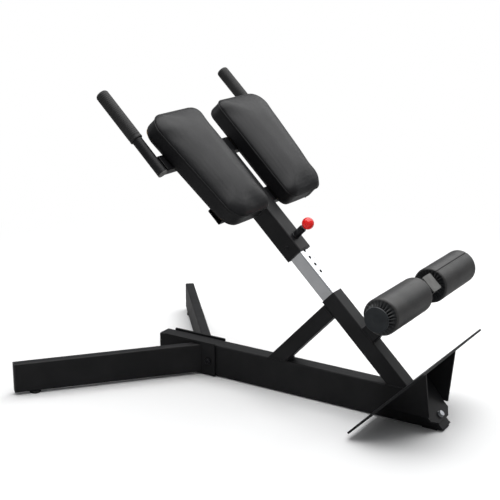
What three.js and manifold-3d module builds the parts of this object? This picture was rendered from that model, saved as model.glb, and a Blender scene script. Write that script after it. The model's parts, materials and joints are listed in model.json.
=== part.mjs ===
// Roman chair (45 degree hyperextension bench) with a sliding pad carriage.
// Millimetres, +Z up, floor at z = 0. +X runs along the floor beam towards the foot plate.
// Pieces ending in _left are on the -Y side, those ending in _right on the +Y side.
import * as THREE from 'three';
import { mergeVertices } from 'three/addons/utils/BufferGeometryUtils.js';
import Module from 'manifold-3d';

const wasm = await Module();
wasm.setup();

// ---------------------------------------------------------------- driving dimensions
const GAP = 0.3; // clearance between neighbouring pieces

// Floor beam: a box tube lying along X
const beamHeight = 100;
const beamWidth = 50;
const beamWall = 2.5;
const beamLift = 3; // beam's underside above the floor
const beamCapThickness = 3.5;
const rearFootX = 915;
const rearFootHalf = 22;
const rearFootStud = 5;

// Splayed legs
const legHeight = 90;
const legWidth = 30;
const legWall = 2.5;
const legLift = 8; // height of the rubber feet
const legAngle = 49.72; // plan angle from the -X direction
const legRootX = 166.5; // where the leg's rear face meets the beam's side
const legLength = 575; // along the leg's rear face
const legCapThickness = 4;
const legFootRadius = 17;
const legFootStud = 5;
const legFootInset = 57; // foot's centre in from the leg's end

// Bolted flanges between legs and beam
const flangeThickness = 6;
const flangeStartX = 24;
const flangeEndX = 210;
const flangeRise = 4.5; // above the beam's top
const flangeBoltZ = 48;
const flangeBoltXs = { front: 47, rear: 187 };
const boltRadius = 6;
const boltHeadRadius = 9.5;
const boltHeadHeight = 7;
const boltSocket = 8; // across the flats
const boltSocketDepth = 4;
const boltTail = 16; // beyond the far flange
const flangeNutAcross = 19;
const flangeNutHeight = 11;

// Post: leans back over the beam; stations s run up along it, w out of its top face
const postLean = 44.29; // degrees above the floor
const postOriginX = 799;
const postOriginZ = 120.9;
const postSize = 50;
const postWall = 2;
const postTop = 292;

// Strut between beam and post
const strutLean = 46.9;
const strutWidth = 50;
const strutDepth = 45;
const strutFootX = 394.5; // front edge on the beam's top
const strutWall = 2;

// Chromed slide tube
const slideClearance = 0.5; // each side, inside the post
const slideSize = postSize - 2 * (postWall + slideClearance);
const slideWall = 2.5;
const slideBottom = 160;
const slideTop = 650;
const holePitch = 25;
const holeCount = 7;
const holeRadius = 5;
const holeTopStation = 514; // uppermost hole
const pinHoleNumber = 1; // hole engaged at rest, counted down from the uppermost
const pinStation = holeTopStation - pinHoleNumber * holePitch;

// Foot plate and its bracket
const footPlateThickness = 6;
const footPlateStation = -40.5;
const footPlateHalfWidth = 210;
const footPlateLow = -106;
const footPlateHigh = 196;
const footPlateCorner = 12;
const footSlotHalfWidth = Math.max(beamWidth, postSize) / 2 + 2;
const endPlateHalfWidth = footSlotHalfWidth + 0.5;
const endPlateBottom = -190;
const endPlateThickness = 6;
const footSlotEnd = postSize / 2 + endPlateThickness + 2 * GAP;
const bracketBaseThickness = 6;
const bracketBoltStation = -154;
const bracketBoltRadius = 5;
const bracketBoltAcross = 17;
const bracketBoltHeadHeight = 6.4;
const washerRadius = 10;
const washerThickness = 2;
const bracketHalfWidth = 80;
const bracketTipStation = -171;
const bracketShoulderStation = -140;
const bracketTipHalfWidth = 32;
const wingThickness = 6;
const wingFlare = 15; // degrees outwards from the vertical
const wingRootY = 65; // at the wing's lower edge
const wingBottomZ = 54;
const wingRearX = 931;

// Roller arm and ankle rollers
const armSize = 50;
const armWall = 2;
const armStation = 138;
const armCapThickness = 3.5;
const axleW = 239;
const armTop = axleW + 33.5;
const axleRadius = 8;
const rollerRadius = 50;
const coreInner = armSize / 2 + 5; // inner end of the core, a spacer beside the arm
const rollerInner = coreInner + 16; // inner end of each roller from the middle
const rollerOuter = 264; // outer end of the roller's straight cover
const rollerRound = 10; // rounding of the roller's ends
const gatherDepth = 16; // how far the cover's gathered end stands out
const coreRadius = 15;
const axleClearance = 0.1;
const endCapRadius = 34;
const endCapThickness = 6;
const endCapStem = 18;

// Sliding carriage
const sleeveWall = 3;
const bushWall = 3.9;
const sleeveSize = slideSize + 2 * (GAP + bushWall + GAP + sleeveWall);
const sleeveBottom = 444.5;
const crossbarDepth = 50; // along the post
const crossbarThickness = 25;
const crossbarTopW = 20.5;
const crossbarWall = 2;
const upperCrossbarStation = 833;
const lowerCrossbarStation = 641;
const lowerCrossbarEnd = 225;
const bushLength = 58;
const bushLipThickness = 3;
const upperBushTop = 612;
const screwStation = sleeveBottom + 30.5;
const screwRadius = 3;

// Handles
const handleRadius = 15;
const handleWall = 2;
const handleY = 303.4;
const handleBottom = upperCrossbarStation - 27;
const handleTop = 1088;
const plugThickness = 3;
const gripRadius = 18.7;
const gripBottom = handleTop - 160;
const gripTop = handleTop + 9;

// Thigh pads
const padBottom = 593;
const padTop = 957;
const padInnerY = 54;
const padOuterLowY = 247; // outer edge at the pad's lower end
const padOuterHighY = 278; // outer edge at the pad's upper end
const padOuterRadius = 44;
const padInnerRadius = 28;
const padBaseW = crossbarTopW + GAP;
const boardThickness = 12;
const boardInset = 6; // board's edge inside the cover
const padSeamW = 64; // piping line
const padCrownW = 96;
const padBoltY = 150;
const padBoltRadius = 4;
const padBoltAcross = 13;
const padBoltHeadHeight = 5.3;

// Spring-loaded pull pin
const housingRadius = 11;
const housingBore = 8.5;
const housingTop = sleeveSize / 2 + 36;
const housingLid = 4;
const pinRadius = 4.6;
const pinTipW = slideSize / 2 - slideWall - 4; // below the slide tube's wall
const pinCollarRadius = 8;
const pinCollarBottom = sleeveSize / 2 + 1;
const pinCollarHeight = 4;
const ballRadius = 17.5;
const ballW = housingTop + 3.3 + ballRadius;
const stemRadius = 3;
const springWire = 0.7;
const springRadius = 6.6;
const springTurns = 6;

// ---------------------------------------------------------------- finishes
const finish = (color, roughness, metalness) => ({ color, roughness, metalness });
const finishes = {
  powder: finish(0x1f1f21, 0.5, 0.2),
  chrome: finish(0xd8dbde, 0.12, 1.0),
  zinc: finish(0xb4b8bb, 0.35, 1.0),
  blackSteel: finish(0x26262a, 0.4, 0.8),
  vinyl: finish(0x161618, 0.55, 0.0),
  rubber: finish(0x121213, 0.9, 0.0),
  plastic: finish(0x1c1c1e, 0.6, 0.0),
  greyPlastic: finish(0x8d8f92, 0.6, 0.0),
  redPlastic: finish(0xb9141c, 0.25, 0.0),
  plywood: finish(0xb9935f, 0.8, 0.0),
};

// ---------------------------------------------------------------- solids
const radians = THREE.MathUtils.degToRad;

function solid(geometry) {
  const bare = geometry.clone();
  bare.deleteAttribute('normal');
  bare.deleteAttribute('uv');
  const merged = mergeVertices(bare, 1e-4);
  const triangles = [];
  for (let i = 0; i < merged.index.count; i += 3) {
    const [a, b, c] = merged.index.array.slice(i, i + 3);
    if (a !== b && b !== c && c !== a) {
      triangles.push(a, b, c);
    }
  }
  return new wasm.Manifold(new wasm.Mesh({
    numProp: 3,
    vertProperties: new Float32Array(merged.attributes.position.array),
    triVerts: new Uint32Array(triangles),
  }));
}

function block(x, y, z, matrix) {
  const geometry = new THREE.BoxGeometry(x[1] - x[0], y[1] - y[0], z[1] - z[0]);
  geometry.translate((x[0] + x[1]) / 2, (y[0] + y[1]) / 2, (z[0] + z[1]) / 2);
  return solid(matrix ? geometry.applyMatrix4(matrix) : geometry);
}

function roundedRect(path, halfA, halfB, radius) {
  path.moveTo(-halfA + radius, -halfB);
  path.lineTo(halfA - radius, -halfB);
  path.absarc(halfA - radius, -halfB + radius, radius, -Math.PI / 2, 0);
  path.lineTo(halfA, halfB - radius);
  path.absarc(halfA - radius, halfB - radius, radius, 0, Math.PI / 2);
  path.lineTo(-halfA + radius, halfB);
  path.absarc(-halfA + radius, halfB - radius, radius, Math.PI / 2, Math.PI);
  path.lineTo(-halfA, -halfB + radius);
  path.absarc(-halfA + radius, -halfB + radius, radius, Math.PI, Math.PI * 1.5);
  return path;
}

// Rounded box section a x b from z = 0 to z = length, hollow when a wall is given
function boxSection(a, b, length, matrix, wall = 0, radius = 4) {
  const shape = roundedRect(new THREE.Shape(), a / 2, b / 2, radius);
  if (wall > 0) {
    const inner = Math.max(radius - wall, 0.8);
    shape.holes.push(roundedRect(new THREE.Path(), a / 2 - wall, b / 2 - wall, inner));
  }
  const geometry = new THREE.ExtrudeGeometry(shape, { depth: length, bevelEnabled: false, curveSegments: 3 });
  return solid(geometry.applyMatrix4(matrix));
}

// Flat plate with the given [a, b] corners from z = 0 to z = thickness
function plate(corners, thickness, matrix) {
  const shape = new THREE.Shape(corners.map(([a, b]) => new THREE.Vector2(a, b)));
  const geometry = new THREE.ExtrudeGeometry(shape, { depth: thickness, bevelEnabled: false });
  return solid(geometry.applyMatrix4(matrix));
}

// Body of revolution about Z from [radius, z] points; the profile is closed on itself
function turned(profile, matrix, segments = 24) {
  const points = [...profile, profile[0]].map(([r, z]) => new THREE.Vector2(r, z));
  const geometry = new THREE.LatheGeometry(points, segments);
  geometry.rotateX(Math.PI / 2);
  geometry.applyMatrix4(matrix);
  return solid(flipIfInverted(geometry));
}

function flipIfInverted(geometry) {
  const p = geometry.attributes.position;
  const index = geometry.index.array;
  let volume = 0;
  const [a, b, c] = [new THREE.Vector3(), new THREE.Vector3(), new THREE.Vector3()];
  for (let i = 0; i < index.length; i += 3) {
    a.fromBufferAttribute(p, index[i]);
    b.fromBufferAttribute(p, index[i + 1]);
    c.fromBufferAttribute(p, index[i + 2]);
    volume += a.dot(b.cross(c));
  }
  if (volume < 0) {
    for (let i = 0; i < index.length; i += 3) {
      [index[i], index[i + 1]] = [index[i + 1], index[i]];
    }
  }
  return geometry;
}

const rod = (radius, z0, z1, matrix, segments = 24) =>
  turned([[0, z0], [radius, z0], [radius, z1], [0, z1]], matrix, segments);

const ring = (inner, outer, z0, z1, matrix, segments = 24) =>
  turned([[inner, z0], [outer, z0], [outer, z1], [inner, z1]], matrix, segments);

// Hexagonal prism measured across its flats
const hexagon = (acrossFlats, z0, z1, matrix) =>
  rod(acrossFlats / Math.sqrt(3), z0, z1, matrix, 6);

// ---------------------------------------------------------------- frames
const frame = (xAxis, yAxis, zAxis, origin) =>
  new THREE.Matrix4().makeBasis(xAxis, yAxis, zAxis).setPosition(origin);
const vec = (x, y, z) => new THREE.Vector3(x, y, z);

const sinLean = Math.sin(radians(postLean));
const cosLean = Math.cos(radians(postLean));
const up = vec(-cosLean, 0, sinLean); // up along the post
const out = vec(sinLean, 0, cosLean); // out of the post's top face
const side = vec(0, 1, 0);
const postOrigin = vec(postOriginX, 0, postOriginZ);
const postPoint = (s, y, w) =>
  postOrigin.clone().addScaledVector(up, s).addScaledVector(side, y).addScaledVector(out, w);

// z of the local frame up the post (x = -Y, y = out)
const alongPost = (s, y = 0, w = 0) => frame(side.clone().negate(), out, up, postPoint(s, y, w));
// z of the local frame out of the post (x = down the post, y = +Y)
const outOfPost = (s, y = 0, w = 0) => frame(up.clone().negate(), side, out, postPoint(s, y, w));
// z of the local frame towards +Y, or towards -Y when the sign is -1 (x = up the post)
const sideways = (sign, s, y = 0, w = 0) =>
  frame(up, out.clone().multiplyScalar(sign), side.clone().multiplyScalar(sign), postPoint(s, y, w));
const alongY = (x, z) => frame(vec(0, 0, 1), vec(1, 0, 0), side, vec(x, 0, z));
const upright = (x, y) => new THREE.Matrix4().makeTranslation(x, y, 0);

const postBox = (s, y, w) => block([-s[1], -s[0]], y, w, outOfPost(0));

const turnedBack = (matrix) => matrix.multiply(new THREE.Matrix4().makeRotationY(Math.PI));

const sides = [['left', -1], ['right', 1]];
const chair = new THREE.Group();
chair.name = 'roman_chair';

function add(name, body, look) {
  const mesh = body.getMesh();
  const geometry = new THREE.BufferGeometry();
  geometry.setAttribute('position', new THREE.BufferAttribute(mesh.vertProperties, 3));
  geometry.setIndex(new THREE.BufferAttribute(mesh.triVerts, 1));
  geometry.computeVertexNormals();
  const node = new THREE.Mesh(geometry, new THREE.MeshStandardMaterial(finishes[look]));
  node.name = name;
  chair.add(node);
}

const cut = (body, ...tools) => tools.reduce((left, tool) => left.subtract(tool), body);
const join = (...bodies) => bodies.reduce((sum, body) => sum.add(body));

// Plug in the end of an a x b box tube: z = 0 is its outer face and +z runs into the tube
function tubePlug(a, b, wall, faceThickness, depth, matrix) {
  const inset = 2 * (wall + GAP);
  const tailStart = matrix.clone().multiply(new THREE.Matrix4().makeTranslation(0, 0, faceThickness / 2));
  const face = boxSection(a, b, faceThickness, matrix, 0, 5);
  return join(face, boxSection(a - inset, b - inset, depth, tailStart, 0, 2.5));
}

// ---------------------------------------------------------------- shared levels
const beamTop = beamLift + beamHeight;
const beamHalf = beamWidth / 2;
const postHalf = postSize / 2;
const flangeOuterY = beamHalf + GAP + flangeThickness;
const pinCut = (s, radius, w0, w1) => rod(radius, w0, w1, outOfPost(s), 20);

function flangeBoltHoles() {
  const reach = flangeOuterY + 30;
  return Object.values(flangeBoltXs).map((x) => rod(boltRadius + GAP, -reach, reach, alongY(x, flangeBoltZ)));
}

// ---------------------------------------------------------------- floor beam
function floorBeam() {
  const start = beamCapThickness + GAP;
  const matrix = frame(side, vec(0, 0, 1), vec(1, 0, 0), vec(start, 0, beamLift + beamHeight / 2));
  const tube = boxSection(beamWidth, beamHeight, 1000, matrix, beamWall, 5);
  const mitre = postBox([-400, 400], [-100, 100], [postHalf, 600]);
  const footHole = rod(rearFootStud + GAP, -10, beamLift + beamWall + 5, upright(rearFootX, 0));
  add('floor_beam', cut(tube, mitre, ...flangeBoltHoles(), footHole), 'powder');
}

function beamFrontCap() {
  const at = frame(side, vec(0, 0, 1), vec(1, 0, 0), vec(0, 0, beamLift + beamHeight / 2));
  add('beam_front_cap', tubePlug(beamWidth, beamHeight, beamWall, beamCapThickness, 20, at), 'plastic');
}

function rearFoot() {
  const pad = block([rearFootX - rearFootHalf, rearFootX + rearFootHalf], [-rearFootHalf, rearFootHalf],
    [0, beamLift - GAP]);
  const stud = rod(rearFootStud, 1, beamLift + beamWall + 4, upright(rearFootX, 0));
  add('rear_foot', join(pad, stud), 'rubber');
}

function beamEndPlate() {
  const top = footPlateStation - footPlateThickness / 2 - GAP;
  const w = [postHalf + GAP, postHalf + endPlateThickness];
  const body = postBox([endPlateBottom, top], [-endPlateHalfWidth, endPlateHalfWidth], w);
  const bolt = pinCut(bracketBoltStation, bracketBoltRadius + GAP, 0, 60);
  add('beam_end_plate', cut(body, bolt), 'powder');
}

// ---------------------------------------------------------------- legs
const legCos = Math.cos(radians(legAngle));
const legSin = Math.sin(radians(legAngle));

// Frame at the root of a leg: z along the leg, y up, x across it
function legFrame(sign, distance, across, z) {
  const along = vec(-legCos, sign * legSin, 0);
  const upAxis = vec(0, 0, 1);
  const acrossAxis = upAxis.clone().cross(along);
  const inward = vec(-legSin, -sign * legCos, 0); // from the rear face towards the front face
  const root = vec(legRootX, sign * beamHalf, z);
  const origin = root.addScaledVector(along, distance).addScaledVector(inward, across);
  return frame(acrossAxis, upAxis, along, origin);
}

function legPieces(label, sign) {
  const midZ = legLift + legHeight / 2;
  const rootY = flangeOuterY + GAP;
  const rootCut = block([-600, 600], sign > 0 ? [-200, rootY] : [-rootY, 200], [-50, 300]);
  const footAt = legFrame(sign, legLength - legFootInset, legWidth / 2, 0);
  const stud = new THREE.Matrix4().setPosition(new THREE.Vector3().setFromMatrixPosition(footAt));
  const tubeAt = legFrame(sign, -120, legWidth / 2, midZ);
  const tube = boxSection(legWidth, legHeight, legLength + 120, tubeAt, legWall, 5);
  add(`leg_tube_${label}`, cut(tube, rootCut, rod(legFootStud + GAP, -10, legLift + 10, stud)), 'powder');

  const capAt = turnedBack(legFrame(sign, legLength + GAP + legCapThickness, legWidth / 2, midZ));
  add(`leg_end_cap_${label}`, tubePlug(legWidth, legHeight, legWall, legCapThickness, 20, capAt), 'plastic');

  const studTop = legLift + legWall + 4;
  const foot = turned([[0, 0], [legFootRadius - 1, 0], [legFootRadius, 1.5],
    [legFootRadius - 1, legLift - GAP], [legFootStud, legLift - GAP], [legFootStud, studTop],
    [0, studTop]], stud);
  add(`leg_foot_${label}`, foot, 'rubber');

  const y = sign > 0 ? [beamHalf + GAP, flangeOuterY] : [-flangeOuterY, -beamHalf - GAP];
  const flange = block([flangeStartX, flangeEndX], y, [beamLift, beamTop + flangeRise]);
  add(`leg_flange_${label}`, cut(flange, ...flangeBoltHoles()), 'powder');
}

function flangeBolts() {
  const face = flangeOuterY + GAP;
  for (const [label, x] of Object.entries(flangeBoltXs)) {
    const at = alongY(x, flangeBoltZ);
    const head = turned([[0, -face - boltHeadHeight], [boltHeadRadius - 2, -face - boltHeadHeight],
      [boltHeadRadius, -face - boltHeadHeight + 2], [boltHeadRadius, -face], [boltRadius, -face],
      [boltRadius, face + boltTail], [0, face + boltTail]], at);
    const headTop = -face - boltHeadHeight;
    const socket = hexagon(boltSocket, headTop - 1, headTop + boltSocketDepth, at);
    add(`flange_bolt_${label}`, cut(head, socket), 'blackSteel');
    const nutBore = rod(boltRadius + GAP / 2, face - 5, face + 20, at);
    const nut = cut(hexagon(flangeNutAcross, face, face + flangeNutHeight, at), nutBore);
    add(`flange_nut_${label}`, nut, 'blackSteel');
  }
}

// ---------------------------------------------------------------- post, strut, slide tube
function postAndStrut() {
  const floorCut = block([-200, 2000], [-200, 200], [-400, beamTop + GAP]);
  const post = boxSection(postSize, postSize, postTop + 160, alongPost(-160), postWall, 4);
  add('post_tube', cut(post, floorCut), 'powder');

  const lean = radians(strutLean);
  const along = vec(Math.cos(lean), 0, Math.sin(lean));
  const inward = vec(Math.sin(lean), 0, -Math.cos(lean)); // from the front face to the rear face
  const frontFoot = vec(strutFootX, 0, beamTop);
  const foot = frontFoot.addScaledVector(inward, strutDepth / 2).addScaledVector(along, -80);
  const strutAt = frame(inward, side, inward.clone().cross(side), foot);
  const tube = boxSection(strutDepth, strutWidth, 480, strutAt, strutWall, 4);
  const postCut = postBox([-600, 700], [-100, 100], [-postHalf - GAP, 400]);
  add('strut_tube', cut(tube, floorCut, postCut), 'powder');
}

function slideTube() {
  const tube = boxSection(slideSize, slideSize, slideTop - slideBottom, alongPost(slideBottom), slideWall, 5);
  const holes = [];
  for (let i = 0; i < holeCount; i += 1) {
    holes.push(pinCut(holeTopStation - i * holePitch, holeRadius, 10, 40));
  }
  add('slide_tube', cut(tube, ...holes), 'chrome');
}

// ---------------------------------------------------------------- foot plate and bracket
const bracketBaseW = postHalf + endPlateThickness + GAP;
const footPlateUnder = footPlateStation - footPlateThickness / 2;

function roundedCorners(halfA, low, high, radius) {
  const corners = [];
  for (const [a, b, start] of [[halfA, low, -90], [halfA, high, 0], [-halfA, high, 90], [-halfA, low, 180]]) {
    for (let i = 0; i <= 3; i += 1) {
      const angle = radians(start + i * 30);
      corners.push([a - Math.sign(a) * radius + radius * Math.cos(angle),
        b + (b === low ? radius : -radius) + radius * Math.sin(angle)]);
    }
  }
  return corners;
}

function footPlate() {
  const outline = roundedCorners(footPlateHalfWidth, footPlateLow, footPlateHigh, footPlateCorner);
  const sheet = plate(outline, footPlateThickness, alongPost(footPlateUnder));
  const slotY = [-footSlotHalfWidth, footSlotHalfWidth];
  const slot = postBox([-200, 100], slotY, [footPlateLow - 50, footSlotEnd]);
  add('foot_plate', cut(sheet, slot), 'powder');
}

// Slab that follows a wing's plane, with the given offsets either side of it
function wingSlab(sign, inner, outer) {
  const flare = radians(wingFlare);
  const upWing = vec(0, sign * Math.sin(flare), Math.cos(flare));
  const along = vec(1, 0, 0);
  const normal = along.clone().cross(upWing);
  const outward = normal.y * sign > 0 ? 1 : -1;
  const depth = outward > 0 ? [-inner, outer] : [-outer, inner];
  const root = vec(0, sign * wingRootY, wingBottomZ);
  return block([600, 1000], [0, 400], depth, frame(along, upWing, normal, root));
}

function footBracket() {
  const half = wingThickness / 2;
  const topStation = footPlateUnder - GAP;
  const outline = [[bracketHalfWidth, topStation], [bracketHalfWidth, bracketShoulderStation],
    [bracketTipHalfWidth, bracketTipStation]];
  const mirrored = outline.map(([y, s]) => [-y, s]).reverse();
  const corners = [...outline, ...mirrored].map(([y, s]) => [-s, y]);
  const base = plate(corners, bracketBaseThickness, outOfPost(0, 0, bracketBaseW));
  const sheet = postBox([topStation, 400], [-300, 300], [-400, 400]);
  const wingsClear = sides.map(([, sign]) => wingSlab(sign, half + GAP, 300));
  const bolt = pinCut(bracketBoltStation, bracketBoltRadius + GAP, 0, 60);
  add('foot_bracket_base', cut(base, bolt, ...wingsClear, lowSides()), 'powder');

  for (const [label, sign] of sides) {
    const rear = block([wingRearX, 1200], [-300, 300], [-100, 500]);
    add(`foot_bracket_wing_${label}`, cut(wingSlab(sign, half, half), sheet, rear), 'powder');
  }

  const at = outOfPost(bracketBoltStation);
  const under = bracketBaseW + bracketBaseThickness + GAP;
  const washer = ring(bracketBoltRadius + 0.2, washerRadius, under, under + washerThickness, at);
  add('foot_bracket_washer', washer, 'zinc');
  const shank = rod(bracketBoltRadius, 8, under + 4, at);
  const headUnder = under + washerThickness + GAP;
  const head = hexagon(bracketBoltAcross, headUnder, headUnder + bracketBoltHeadHeight, at);
  add('foot_bracket_bolt', join(head, shank), 'zinc');
}

// Trims the base plate beside the wings' lower edges
function lowSides() {
  const inner = wingRootY - wingThickness / 2 - 1;
  const tools = sides.map(([, sign]) => block([600, 1100],
    sign > 0 ? [inner, 200] : [-200, -inner], [-100, wingBottomZ + 1]));
  return join(...tools);
}

// ---------------------------------------------------------------- roller arm and rollers
function rollerArm() {
  const base = postHalf + GAP;
  const tube = boxSection(armSize, armSize, armTop - base, outOfPost(armStation, 0, base), armWall, 4);
  const bore = rod(axleRadius + GAP, -80, 80, sideways(1, armStation, 0, axleW));
  add('roller_arm', cut(tube, bore), 'powder');
  const capAt = turnedBack(outOfPost(armStation, 0, armTop + GAP + armCapThickness));
  add('roller_arm_cap', tubePlug(armSize, armSize, armWall, armCapThickness, 12, capAt), 'greyPlastic');
}

// Profile of the padded roller cover, from its inner end to its gathered outer end
function rollerProfile() {
  const middle = rollerRadius - rollerRound;
  const profile = [[coreRadius + GAP, rollerInner]];
  for (let i = 0; i <= 8; i += 1) {
    const angle = radians(-90 + i * 22.5);
    const end = i <= 4 ? rollerInner + rollerRound : rollerOuter - rollerRound;
    profile.push([middle + rollerRound * Math.cos(angle), end + rollerRound * Math.sin(angle)]);
    if (i === 4) {
      profile.push([rollerRadius, rollerOuter - rollerRound]);
    }
  }
  profile.push([middle - 10, rollerOuter + gatherDepth * 0.5], [middle - 17, rollerOuter + gatherDepth * 0.9],
    [coreRadius + GAP, rollerOuter + gatherDepth]);
  return profile;
}

function rollers() {
  const coreEnd = rollerOuter + gatherDepth + 3;
  const axleEnd = coreEnd - endCapStem - 2;
  add('roller_axle', rod(axleRadius, -axleEnd, axleEnd, sideways(1, armStation, 0, axleW)), 'zinc');
  for (const [label, sign] of sides) {
    const at = sideways(sign, armStation, 0, axleW);
    const core = ring(axleRadius + axleClearance, coreRadius, coreInner, coreEnd, at);
    add(`roller_core_${label}`, core, 'plastic');
    add(`roller_pad_${label}`, turned(rollerProfile(), at, 32), 'vinyl');
    const face = coreEnd + GAP;
    const stemRadius = axleRadius - GAP;
    const cap = turned([[0, coreEnd - endCapStem], [stemRadius, coreEnd - endCapStem], [stemRadius, face],
      [endCapRadius - 1, face], [endCapRadius, face + 1], [endCapRadius, face + endCapThickness - 2],
      [endCapRadius - 2, face + endCapThickness], [0, face + endCapThickness]], at, 28);
    add(`roller_end_cap_${label}`, cap, 'plastic');
  }
}

// ---------------------------------------------------------------- carriage
const crossbarMidW = crossbarTopW - crossbarThickness / 2;
const sleeveHalf = sleeveSize / 2;
const bushOuter = sleeveSize - 2 * (sleeveWall + GAP);

function sleeve() {
  const top = upperCrossbarStation - crossbarDepth / 2 - GAP;
  const tube = boxSection(sleeveSize, sleeveSize, top - sleeveBottom, alongPost(sleeveBottom), sleeveWall, 5);
  const pinHole = pinCut(pinStation, pinRadius + 2 * GAP, 10, 60);
  const screwAt = sideways(-1, screwStation);
  const screwHole = rod(screwRadius + GAP, 0, 80, screwAt);
  add('sleeve_tube', cut(tube, pinHole, screwHole), 'powder');

  const lip = bush(sleeveSize - 1, sleeveBottom - GAP - bushLipThickness, bushLipThickness);
  const lower = join(lip, bush(bushOuter, sleeveBottom - GAP - bushLipThickness / 2, bushLength));
  add('sleeve_bush_lower', cut(lower, pinHole, screwHole), 'plastic');
  add('sleeve_bush_upper', bush(bushOuter, upperBushTop - bushLength, bushLength), 'plastic');

  const screw = turned([[0, sleeveHalf + 2.5], [screwRadius + 1.5, sleeveHalf + 2.5],
    [screwRadius + 2.5, sleeveHalf + GAP], [screwRadius, sleeveHalf + GAP],
    [screwRadius, sleeveHalf - 5], [0, sleeveHalf - 5]], screwAt, 16);
  add('sleeve_screw', screw, 'blackSteel');
}

// Square plastic glide around the slide tube
function bush(size, station, length) {
  const wall = (size - slideSize) / 2 - GAP;
  return boxSection(size, size, length, alongPost(station), wall, 4);
}

function crossbarSection(station, y0, y1) {
  const at = sideways(1, station, y0, crossbarMidW);
  return boxSection(crossbarDepth, crossbarThickness, y1 - y0, at, crossbarWall, 3);
}

const padBoltStations = { upper: upperCrossbarStation, lower: lowerCrossbarStation };
const padBoltAt = (row, sign) => outOfPost(padBoltStations[row], sign * padBoltY);

function crossbars() {
  const end = handleY - handleRadius - GAP;
  const bolts = (row) => sides.map(([, sign]) => rod(padBoltRadius + GAP, -60, 60, padBoltAt(row, sign)));
  const upper = crossbarSection(upperCrossbarStation, -end, end);
  add('upper_crossbar', cut(upper, ...bolts('upper')), 'powder');
  for (const [label, sign] of sides) {
    const span = [sleeveHalf + GAP, lowerCrossbarEnd];
    const [y0, y1] = sign > 0 ? span : [-span[1], -span[0]];
    const bar = crossbarSection(lowerCrossbarStation, y0, y1);
    add(`lower_crossbar_${label}`, cut(bar, ...bolts('lower')), 'powder');
  }
}

function handles() {
  for (const [label, sign] of sides) {
    const at = alongPost(0, sign * handleY, crossbarMidW);
    const tubeBottom = handleBottom + plugThickness + GAP;
    const tube = ring(handleRadius - handleWall, handleRadius, tubeBottom, handleTop, at);
    add(`handle_tube_${label}`, tube, 'powder');
    const plugInner = handleRadius - handleWall - GAP;
    const plugFace = handleBottom + plugThickness;
    const plug = turned([[0, handleBottom], [handleRadius - 1, handleBottom],
      [handleRadius, handleBottom + 1], [handleRadius, plugFace], [plugInner, plugFace],
      [plugInner, plugFace + 13], [0, plugFace + 13]], at);
    add(`handle_plug_${label}`, plug, 'greyPlastic');
    const bore = handleRadius + GAP;
    const grip = turned([[bore, gripBottom], [gripRadius - 1.5, gripBottom], [gripRadius, gripBottom + 2],
      [gripRadius, gripTop - 9], [gripRadius - 2, gripTop - 4.5], [gripRadius - 6, gripTop - 1.2],
      [gripRadius - 11, gripTop], [0, gripTop], [0, handleTop + GAP], [bore, handleTop + GAP]], at, 28);
    add(`handle_grip_${label}`, grip, 'rubber');
  }
}

// ---------------------------------------------------------------- pads
// Outline of a pad as [station, |y|] points, inset by the given amount
function padOutline(inset) {
  const slope = (padOuterHighY - padOuterLowY) / (padTop - padBottom);
  const low = padBottom + inset;
  const high = padTop - inset;
  const inner = padInnerY + inset;
  const outerLow = padOuterLowY + slope * inset - inset;
  const outerHigh = padOuterHighY - slope * inset - inset;
  const rounds = [[low, 1, inner, 1, padInnerRadius, 270], [low, 1, outerLow, -1, padOuterRadius, 180],
    [high, -1, outerHigh, -1, padOuterRadius, 90], [high, -1, inner, 1, padInnerRadius, 0]];
  const points = [];
  for (const [s, inwardS, y, inwardY, fullRadius, startAngle] of rounds) {
    const radius = Math.max(fullRadius - inset, 6);
    for (let i = 0; i <= 5; i += 1) {
      const angle = radians(startAngle - i * 18);
      const middle = [s + inwardS * radius, y + inwardY * radius];
      points.push([middle[0] + radius * Math.cos(angle), middle[1] + radius * Math.sin(angle)]);
    }
  }
  return points;
}

// Closed skin through a stack of equal-length outlines at the given heights
function stacked(layers, sign) {
  const count = layers[0].points.length;
  const positions = [];
  for (const { points, w } of layers) {
    for (const [s, y] of points) {
      positions.push(...postPoint(s, sign * y, w).toArray());
    }
  }
  const middle = (layer) => {
    const mean = layer.points.reduce((sum, [s, y]) => [sum[0] + s / count, sum[1] + y / count], [0, 0]);
    return postPoint(mean[0], sign * mean[1], layer.w).toArray();
  };
  positions.push(...middle(layers[0]), ...middle(layers[layers.length - 1]));
  const bottom = layers.length * count;
  const index = [];
  for (let i = 0; i < count; i += 1) {
    const j = (i + 1) % count;
    index.push(bottom, i, j);
    for (let k = 0; k + 1 < layers.length; k += 1) {
      const [a, b] = [k * count, (k + 1) * count];
      index.push(a + i, b + i, b + j, a + i, b + j, a + j);
    }
    const last = (layers.length - 1) * count;
    index.push(bottom + 1, last + j, last + i);
  }
  const geometry = new THREE.BufferGeometry();
  geometry.setAttribute('position', new THREE.Float32BufferAttribute(positions, 3));
  geometry.setIndex(index);
  return solid(flipIfInverted(geometry));
}

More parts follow.
